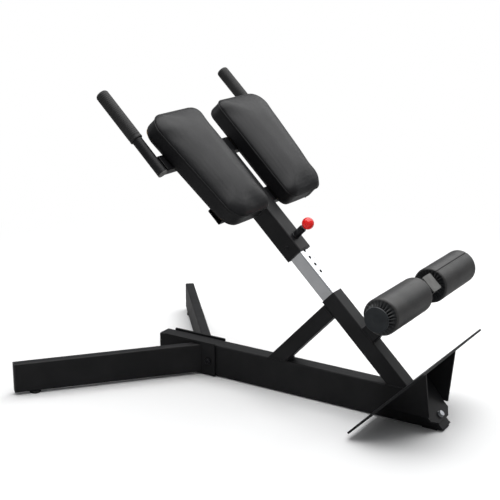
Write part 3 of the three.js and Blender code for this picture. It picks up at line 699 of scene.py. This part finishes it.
def pin_spring():
    """Return spring between the pin's collar and the housing."""
    turns, per_turn = 6, 28
    low, high = 36.0, 61.0
    radius, wire = 6.6, 0.7
    at = out_of_post(PIN_STATION)
    bm = bmesh.new()
    rings = []
    for i in range(turns * per_turn + 1):
        angle = 2 * math.pi * i / per_turn
        height = low + (high - low) * i / (turns * per_turn)
        ring = []
        for around in round_angles(STRAND_SIDES):
            reach = radius + wire * math.cos(around)
            ring.append(bm.verts.new(at @ polar(reach, angle, height + wire * math.sin(around))))
        rings.append(ring)
    capped_rings(bm, rings)
    spring = add_piece("pin_spring_detail", bm, ZINC, None, ("pin_spring",), 80.0)
    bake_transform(spring)


# ------------------------------------------------------------------ ankle rollers
PLEATS = 26
ROLLER_SEAM = {-1: math.radians(90.0), 1: math.radians(68.0)}
ROLLER_INNER = 46.0      # the cover's ends, across from the middle
ROLLER_OUTER = 264.0
GATHER_DEPTH = 16.0      # how far the pleats stand out past the outer end


def roller_profile():
    """(radius, across, gather) rows from the inner end round to the gathered outer end."""
    inner, outer = ROLLER_INNER, ROLLER_OUTER
    radius, edge = 50.0, 6.0
    rows = [(15.5, inner + 3.0, 0.5)]
    for k in range(1, 7):
        reach = k / 6
        rows.append((16 + 27 * reach, inner + 3.0 - 2.6 * reach, 0.9))
    for k in range(1, 6):
        angle = math.radians(-90 + 18 * k)
        rows.append((radius - edge + edge * math.cos(angle), inner + edge + edge * math.sin(angle), 0.0))
    for k in range(1, 24):
        rows.append((radius, inner + edge + (outer - inner - 2 * edge) * k / 24, 0.0))
    for k in range(5):
        angle = math.radians(18 * k)
        rows.append((radius - edge + edge * math.cos(angle), outer - edge + edge * math.sin(angle), 0.0))
    for k in range(9):
        reach = k / 8
        depth = 15.6 * math.sin(reach * math.pi / 2) ** 1.6
        rows.append((44 - 28 * reach, outer + 0.2 + depth, 0.8 + 1.2 * min(1, 2 * reach)))
    rows.append((15.5, outer + GATHER_DEPTH, 0.8))
    return rows


def pleat_heights(label, angles):
    """Height of the gathered folds at each angle, every fold a little different."""
    rng = random.Random(label)
    strength = [rng.uniform(0.7, 1.25) for _ in range(PLEATS)]
    lean = [rng.uniform(-0.25, 0.25) for _ in range(PLEATS)]
    heights = []
    for angle in angles:
        turn = angle / (2 * math.pi) * PLEATS
        k = int(turn) % PLEATS
        phase = turn - int(turn)
        fold = abs(math.sin(math.pi * (phase + lean[k] * math.sin(math.pi * phase) * 0.5)))
        heights.append((fold - 0.55) * 2.3 * strength[k])
    return heights


def seam_groove(angle, seam, radius):
    """Depth of the stitched groove, with a low ridge on either side of it."""
    away = math.atan2(math.sin(angle - seam), math.cos(angle - seam)) * radius
    return 1.7 * math.exp(-(away / 1.2) ** 2) - 0.45 * math.exp(-((abs(away) - 3.4) / 1.6) ** 2)


def shade_gathered_ends(cover, sign):
    """Gathered ends get the darker vinyl as painted shade, because they face away from the light."""
    cover.data.materials.append(SHADED_END_AND_SEAM_VINYL)
    for polygon in cover.data.polygons:
        reach = sign * polygon.center.y / MM
        across = (polygon.center - AXLE - SIDE * polygon.center.y).length / MM
        at_end = reach < ROLLER_INNER + 4.5 or reach > ROLLER_OUTER - 0.5
        if across < 46.0 and at_end:
            polygon.material_index = 1


def roller_cover(label, sign):
    """Stuffed cover with a lengthwise seam and gathered pleats round its outer end."""
    at = sideways(sign, ARM_STATION, AXLE_W)
    angles = round_angles(PLEATS * 12)
    pleats = pleat_heights(label, angles)
    bm = bmesh.new()
    rings = []
    for radius, z, gather in roller_profile():
        on_side = 1.0 if gather < 0.4 else 0.3
        ring = []
        for angle, pleat in zip(angles, pleats):
            height = pleat * gather
            spot = Vector((math.cos(angle) * 1.6, math.sin(angle) * 1.6, z / 42.0 + sign))
            dent = 0.45 * noise.noise(spot) - seam_groove(angle, ROLLER_SEAM[sign], radius)
            r = radius + dent * on_side - 0.5 + height * 0.4
            ring.append(bm.verts.new(at @ polar(r, angle, z + height)))
        rings.append(ring)
    ring_faces(bm, rings)
    node = f"roller_pad_{label}"
    cover = add_piece(f"roller_cover_{label}", bm, ROLLER_VINYL, BODY_OF[node], (node,), 75.0)
    shade_gathered_ends(cover, sign)


def end_cap_profile():
    """Disc with a raised rim, on a stem inside the core."""
    stem = ROLLER_OUTER + 1.0
    face = ROLLER_OUTER + GATHER_DEPTH + 3.3
    profile = [(0, stem), (7.7, stem), (7.7, face)]
    for radius, rise in (
        (31, 0), (33.2, 0.5), (34, 1.6), (34, 3.6), (33.3, 5.2), (32, 5.9), (30.6, 6),
        (29.8, 5.6), (28.6, 5.3), (10, 5.3), (9.2, 5.7), (8, 5.8), (0, 5.9),
    ):
        profile.append((radius, face + rise))
    return profile


def rollers():
    core = [(8.1, 30), (14, 30), (15, 31), (15, 283), (8.1, 283)]
    for label, sign in SIDES:
        at = sideways(sign, ARM_STATION, AXLE_W)
        roller_cover(label, sign)
        turned(f"roller_end_cap_{label}", end_cap_profile(), at, DISC_PLASTIC, 80, 30.0)
        turned(f"roller_core_{label}", core, at, BLACK_PLASTIC, 56)
    end = 263.0
    axle = [(0, -end), (7.4, -end), (8, -end + 0.6), (8, end - 0.6), (7.4, end), (0, end)]
    turned("roller_axle", axle, sideways(1, ARM_STATION, AXLE_W), ZINC, 48)


# ------------------------------------------------------------------ thigh pads
PAD = {
    "low": 586.0, "high": 957.0, "inner": 54.0, "outer_low": 247.0, "outer_high": 278.0,
    "outer_round": 54.0, "inner_round": 32.0, "base": 20.8, "seam": 64.0, "crown": 96.0,
}
PAD_BULGE = {-1: 0.0, 1: 8.0}    # how far each cushion's outer edge stands out past its board
END_SEAM_Y = {"left": 97.0, "right": 186.0}
VOXEL = 4.5
SWELL_LIMIT = 7.0
SWELL_FRAMES = 20
SWELL_ROUNDS = 30
CLOTH = {
    "quality": 6,
    "mass": 0.35,
    "tension_stiffness": 22.0,
    "compression_stiffness": 22.0,
    "shear_stiffness": 8.0,
    "bending_stiffness": 2.5,
    "use_pressure": True,
    "uniform_pressure_force": 4.0,
}


def pad_outline(inset, sign, steps=10, along=8):
    """Pad outline as (station, |y|) points, pulled in by inset mm, evenly spread."""
    bulge = PAD_BULGE[sign]
    slope = (PAD["outer_high"] - PAD["outer_low"]) / (PAD["high"] - PAD["low"])
    low, high = PAD["low"] + inset, PAD["high"] - inset
    inner = PAD["inner"] + inset
    outer_low = PAD["outer_low"] + bulge + slope * inset - inset
    outer_high = PAD["outer_high"] + bulge - slope * inset - inset
    rounds = (
        (low, 1, inner, 1, PAD["inner_round"], 270),
        (low, 1, outer_low, -1, PAD["outer_round"], 180),
        (high, -1, outer_high, -1, PAD["outer_round"], 90),
        (high, -1, inner, 1, PAD["inner_round"], 0),
    )
    corners = []
    for s, in_s, y, in_y, full, start in rounds:
        radius = max(full - inset * 0.6, 10.0)
        middle_s, middle_y = s + in_s * radius, y + in_y * radius
        arc = []
        for i in range(steps + 1):
            angle = math.radians(start - 90.0 * i / steps)
            arc.append((middle_s + radius * math.cos(angle), middle_y + radius * math.sin(angle)))
        corners.append(arc)
    points = []
    for k, arc in enumerate(corners):
        points += arc
        end, begin = arc[-1], corners[(k + 1) % 4][0]
        points += [
            (end[0] + (begin[0] - end[0]) * i / along, end[1] + (begin[1] - end[1]) * i / along)
            for i in range(1, along)
        ]
    return points


def evened(mesh, values):
    """Averages values over neighbouring vertices, so that the swelling has no creases."""
    neighbours = [[] for _ in values]
    for edge in mesh.edges:
        a, b = edge.vertices
        neighbours[a].append(b)
        neighbours[b].append(a)
    for _ in range(SWELL_ROUNDS):
        values = [
            0.5 * value + 0.5 * sum(values[n] for n in near) / len(near)
            for value, near in zip(values, neighbours)
        ]
    return values


def held_points(mesh):
    """(vertex, weight) pairs held still in the simulation: the board's edge and the seam."""
    held = []
    for vertex in mesh.vertices:
        w = (vertex.co - ORIGIN).dot(OUT) / MM
        if w < PAD["base"] + 4.5:
            held.append((vertex.index, 1.0))
        elif abs(w - PAD["seam"]) < 3.0:
            held.append((vertex.index, 0.9))
    return held


def blown_up(piece):
    """Where the piece's vertices go when its cover is filled under pressure."""
    group = piece.vertex_groups.new(name="held")
    for index, weight in held_points(piece.data):
        group.add([index], weight, "REPLACE")
    cloth = piece.modifiers.new("cloth", "CLOTH")
    for name, value in CLOTH.items():
        setattr(cloth.settings, name, value)
    cloth.settings.vertex_group_mass = "held"
    cloth.settings.effector_weights.gravity = 0.0
    cloth.collision_settings.use_collision = False
    cloth.point_cache.frame_start = 1
    cloth.point_cache.frame_end = SWELL_FRAMES
    scene = bpy.context.scene
    for number in range(1, SWELL_FRAMES + 1):
        scene.frame_set(number)
    posed = piece.evaluated_get(bpy.context.evaluated_depsgraph_get())
    places = [vertex.co.copy() for vertex in posed.data.vertices]
    piece.modifiers.remove(cloth)
    piece.vertex_groups.clear()
    scene.frame_set(1)
    return places


def swollen(piece):
    """Moves the cover out along its normals by an evened share of the simulated swelling."""
    mesh = piece.data
    rest = [vertex.co.copy() for vertex in mesh.vertices]
    ends = blown_up(piece)
    normals = [vertex.normal.copy() for vertex in mesh.vertices]
    swell = [
        min(SWELL_LIMIT * MM, (end - start).dot(normal))
        for start, end, normal in zip(rest, ends, normals)
    ]
    for vertex, start, normal, amount in zip(mesh.vertices, rest, normals, evened(mesh, swell)):
        vertex.co = start + normal * amount


def shape_seams(piece, label, sign):
    """Draws the cover in along its edge seam and the band's closing seam."""
    seam_y = END_SEAM_Y[label]
    middle = Vector(((PAD["low"] + PAD["high"]) / 2, 160.0))
    for vertex in piece.data.vertices:
        local = vertex.co - ORIGIN
        s, y, w = local.dot(UP) / MM, sign * local.y / MM, local.dot(OUT) / MM
        inward = (middle - Vector((s, y))).normalized()
        pull = UP * inward.x + SIDE * sign * inward.y
        depth = 1.3 * math.exp(-((w - PAD["seam"] + 0.5) / 1.9) ** 2)
        if s < PAD["low"] + 14 and w < PAD["seam"] + 2:
            depth += 1.6 * math.exp(-((y - seam_y) / 1.6) ** 2)
        depth += 0.4 * math.exp(-((w - 22.0) / 3.0) ** 2)
        vertex.co += pull * depth * MM


def apply_modifiers(piece):
    graph = bpy.context.evaluated_depsgraph_get()
    graph.update()
    mesh = bpy.data.meshes.new_from_object(piece.evaluated_get(graph), depsgraph=graph)
    piece.modifiers.clear()
    old = piece.data
    piece.data = mesh
    bpy.data.meshes.remove(old)


def pad_block(label, sign):
    """Plain cushion, not yet stuffed: a side band and a domed top as one closed skin."""
    base, seam, crown = PAD["base"] + 0.8, PAD["seam"], PAD["crown"] - 3.0
    layers = [(1.6, base), (0.8, base + 2), (0.6, base + 10)]
    layers += [(1.6, seam - 12), (0.4, seam - 3), (0.0, seam)]
    for inset, share in ((1.8, 0.16), (5.5, 0.36), (12, 0.58), (22, 0.77), (36, 0.90), (56, 0.97)):
        layers.append((inset, seam + (crown - seam) * share))
    layers.append((76, crown))
    bm = bmesh.new()
    capped_rings(bm, [
        [bm.verts.new(post(s, sign * y, w)) for s, y in pad_outline(inset, sign)]
        for inset, w in layers
    ])
    node = f"thigh_pad_{label}"
    return add_piece(f"{node}_cover", bm, PAD_VINYL, BODY_OF[node], (node,), 80.0)


def pad_cover(label, sign):
    cover = pad_block(label, sign)
    remesh = cover.modifiers.new("voxels", "REMESH")
    remesh.mode = "VOXEL"
    remesh.voxel_size = VOXEL * MM
    apply_modifiers(cover)
    swollen(cover)
    rounder = cover.modifiers.new("rounder", "SUBSURF")
    rounder.levels = 1
    rounder.render_levels = 1
    soften = cover.modifiers.new("soften", "SMOOTH")
    soften.iterations = 3
    soften.factor = 0.4
    apply_modifiers(cover)
    shape_seams(cover, label, sign)
    for polygon in cover.data.polygons:
        polygon.use_smooth = True
    band_seam(cover, label, sign)


def stitched(name, bm, look, angle=80.0):
    """Sewn trimming of a cushion."""
    add_piece(name, bm, look, "carriage", angle=angle)


def band_seam(cover, label, sign):
    """Closing seam of the side band, lying on the swollen lower end of the cover."""
    y = END_SEAM_Y[label]
    near_seam = []
    for vertex in cover.data.vertices:
        local = vertex.co - ORIGIN
        s, w = local.dot(UP) / MM, local.dot(OUT) / MM
        if abs(sign * local.y / MM - y) < 6.0 and s < PAD["low"] + 40.0:
            near_seam.append((s, w))
    path = []
    for k in range(10):
        w = PAD["base"] + 4.0 + 4.0 * k
        path.append((min(s for s, height in near_seam if abs(height - w) < 4.0), w))
    loop = [post(s, sign * (y - 1.2), w) for s, w in path]
    loop += [post(s, sign * (y + 1.2), w) for s, w in reversed(path)]
    bm = bmesh.new()
    rope(bm, loop, 0.9, facing=UP)
    stitched(f"thigh_pad_{label}_band_seam", bm, SHADED_END_AND_SEAM_VINYL)


def pad_piping(label, sign):
    edge = pad_outline(0.6, sign, steps=16, along=30)
    bm = bmesh.new()
    rope(bm, [post(s, sign * y, PAD["seam"] + 0.4) for s, y in edge], 1.5)
    stitched(f"thigh_pad_{label}_piping", bm, PAD_VINYL)


def pad_hem(label, sign):
    """Folded edge of the cover, stapled under the board, with an uneven inner edge."""
    outer = pad_outline(3.2, sign, steps=16, along=30)
    inner = pad_outline(22.0, sign, steps=16, along=30)
    rng = random.Random(f"hem {label}")
    shifts = [0.75 * rng.uniform(-1.0, 1.0) for _ in inner]
    uneven = [(s + shift, y + shift) for (s, y), shift in zip(inner, shifts)]
    bm = bmesh.new()
    rings = [
        [bm.verts.new(post(s, sign * y, w)) for s, y in outline]
        for outline, w in ((outer, 21.6), (outer, 20.7), (uneven, 20.62), (uneven, 21.6))
    ]
    ring_faces(bm, rings)
    stitched(f"thigh_pad_{label}_hem", bm, PAD_VINYL, 60.0)


def pads():
    for label, sign in SIDES:
        refine(f"pad_board_{label}")
        pad_cover(label, sign)
        pad_piping(label, sign)
        pad_hem(label, sign)


# ------------------------------------------------------------------ stage, lights and camera
def mixed(tree, factor, first, second):
    """Shader that goes from first to second as factor goes from 0 to 1."""
    mix = tree.nodes.new("ShaderNodeMixShader")
    for socket, output in zip(mix.inputs, (factor, first, second)):
        tree.links.new(output, socket)
    return mix.outputs[0]


def diffuse(tree, shade):
    node = tree.nodes.new("ShaderNodeBsdfDiffuse")
    node.inputs["Color"].default_value = (shade, shade, shade, 1)
    return node.outputs[0]


def paper():
    """White floor that fades into the background far off and is dimmer in reflections."""
    material = bpy.data.materials.new("paper")
    material.use_nodes = True
    tree = material.node_tree
    tree.nodes.clear()
    bright = diffuse(tree, 0.97)
    dim = diffuse(tree, 0.30)
    glow = tree.nodes.new("ShaderNodeEmission")
    glow.inputs["Strength"].default_value = 1.0
    place = tree.nodes.new("ShaderNodeTexCoord")
    distance = tree.nodes.new("ShaderNodeVectorMath")
    distance.operation = "LENGTH"
    fade = tree.nodes.new("ShaderNodeMapRange")
    fade.interpolation_type = "SMOOTHSTEP"
    fade.inputs["From Min"].default_value = 0.9
    fade.inputs["From Max"].default_value = 2.2
    path = tree.nodes.new("ShaderNodeLightPath")
    out = tree.nodes.new("ShaderNodeOutputMaterial")
    tree.links.new(place.outputs["Object"], distance.inputs[0])
    tree.links.new(distance.outputs["Value"], fade.inputs["Value"])
    seen = mixed(tree, fade.outputs[0], bright, glow.outputs[0])
    unseen = mixed(tree, path.outputs["Is Glossy Ray"], bright, dim)
    tree.links.new(mixed(tree, path.outputs["Is Camera Ray"], unseen, seen), out.inputs["Surface"])
    return material


def stage():
    reach = 14.0
    corners = ((-reach, -reach, 0), (reach, -reach, 0), (reach, reach, 0), (-reach, reach, 0))
    mesh = bpy.data.meshes.new("floor")
    mesh.from_pydata(corners, [], [(0, 1, 2, 3)])
    mesh.materials.append(paper())
    floor = bpy.data.objects.new("floor", mesh)
    bpy.context.scene.collection.objects.link(floor)


def background(tree, color, strength):
    node = tree.nodes.new("ShaderNodeBackground")
    node.inputs["Color"].default_value = color
    node.inputs["Strength"].default_value = strength
    return node.outputs[0]


def sky():
    """Plain white to the camera, and a soft fill light to everything else."""
    world = bpy.data.worlds.new("studio")
    bpy.context.scene.world = world
    world.use_nodes = True
    tree = world.node_tree
    tree.nodes.clear()
    white = background(tree, (1, 1, 1, 1), 1.0)
    fill = background(tree, (0.97, 0.985, 1, 1), 0.30)
    path = tree.nodes.new("ShaderNodeLightPath")
    out = tree.nodes.new("ShaderNodeOutputWorld")
    tree.links.new(mixed(tree, path.outputs["Is Camera Ray"], fill, white), out.inputs["Surface"])


def softbox(name, place, target, size, power):
    light = bpy.data.lights.new(name, "AREA")
    light.shape = "RECTANGLE"
    light.size, light.size_y = size
    light.energy = power
    lamp = bpy.data.objects.new(name, light)
    lamp.location = place
    lamp.rotation_euler = (Vector(target) - Vector(place)).to_track_quat("-Z", "Y").to_euler()
    bpy.context.scene.collection.objects.link(lamp)


def lights():
    softbox("overhead", (0.2, 0.4, 3.4), (0.1, 0.1, 0.3), (4.5, 4.5), 162.0)
    softbox("back", (0.9, 4.2, 2.7), (0.1, 0.0, 0.5), (4.5, 2.2), 42.0)
    softbox("left", (-3.4, -1.6, 1.9), (0.0, 0.0, 0.5), (1.6, 1.6), 12.0)


def camera():
    eye = bpy.data.cameras.new("camera")
    eye.sensor_width = 36.0
    eye.lens = 82.7
    eye.shift_x = 0.0299
    eye.shift_y = -0.0057
    eye.clip_end = 60.0
    item = bpy.data.objects.new("camera", eye)
    item.location = (1.65986, -2.7679, 1.3550)
    item.rotation_euler = (math.radians(74.05), 0.0, math.radians(32.5))
    bpy.context.scene.collection.objects.link(item)
    bpy.context.scene.camera = item
    bpy.context.scene.view_settings.view_transform = "Standard"


steel_frame()
flange_bolts()
bracket_bolt()
pad_bolts()
sleeve_screw()
leg_feet()
welds()
handles()
pull_pin()
pin_spring()
rollers()
pads()
stage()
sky()
lights()
camera()
